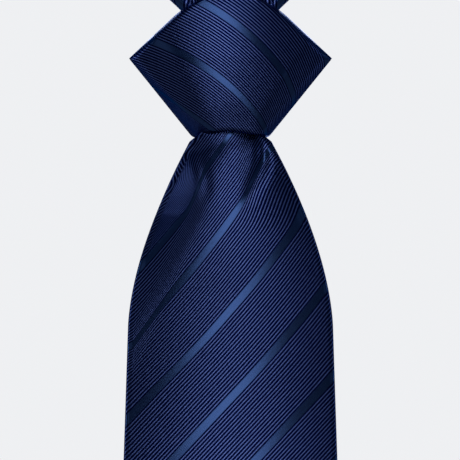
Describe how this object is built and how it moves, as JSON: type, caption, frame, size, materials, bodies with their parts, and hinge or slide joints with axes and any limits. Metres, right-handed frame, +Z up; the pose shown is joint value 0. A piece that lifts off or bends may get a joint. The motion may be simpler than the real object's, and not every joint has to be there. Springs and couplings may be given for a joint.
{
  "type": "necktie",
  "caption": "Necktie in ribbed navy silk with fine satin stripes, tied in a full Windsor knot, with neck loop, folded front blade, tail and keeper loop.",
  "frame": {"origin": "centre of the neck loop, midway across the folded band", "axes": "+Z up, towards the wearer's head; the wearer faces -Y, so the knot and the front blade are towards -Y; +X is the wearer's left"},
  "size_m": [0.1332, 0.1362, 0.5622],
  "materials": {
    "silk": "ribbed silk with a soft sheen",
    "interlining": "brushed wool canvas",
    "lining": "plain lining cloth",
    "thread": "twisted silk thread",
    "label": "woven satin tape"
  },
  "bodies": {
    "root": {"neck_gusset": "silk", "neck_interlining": "interlining", "gusset_seams": "thread", "blade_strand": "silk", "tail_strand": "silk"},
    "knot": {"knot_core": "silk", "knot_front_band": "silk", "knot_blade_pass": "silk", "knot_left_wrap": "silk", "knot_right_wrap": "silk", "knot_left_shoulder": "silk", "knot_right_shoulder": "silk", "knot_back_crossing": "silk"},
    "blade": {"blade_shell": "silk", "blade_interlining": "interlining", "blade_tipping": "lining", "blade_slip_stitch": "thread", "blade_bar_tack": "thread", "keeper_loop": "silk", "keeper_stitches": "thread", "maker_label": "label", "care_label": "label", "tail_throat": "silk"},
    "tail": {"tail_shell": "silk", "tail_interlining": "interlining", "tail_tipping": "lining", "tail_slip_stitch": "thread", "tail_bar_tack": "thread"}
  },
  "joints": [
    {"name": "knot_slide", "type": "slide", "parent": "root", "child": "knot", "axis": [0, 0, -1], "range_m": [0, 0.035], "deforming": ["blade_strand", "tail_strand"]},
    {"name": "blade_swing", "type": "hinge", "parent": "knot", "child": "blade", "pos_m": [0, -0.0586, -0.1072], "axis": [-1, 0, 0], "range_deg": [-5, 60]},
    {"name": "tail_slide", "type": "slide", "parent": "blade", "child": "tail", "axis": [0, 0, 1], "range_m": [0, 0.056], "deforming": ["tail_throat"]}
  ],
  "couplings": [
    {"joint": "tail_slide", "follows": "knot_slide", "ratio": 1.6}
  ]
}
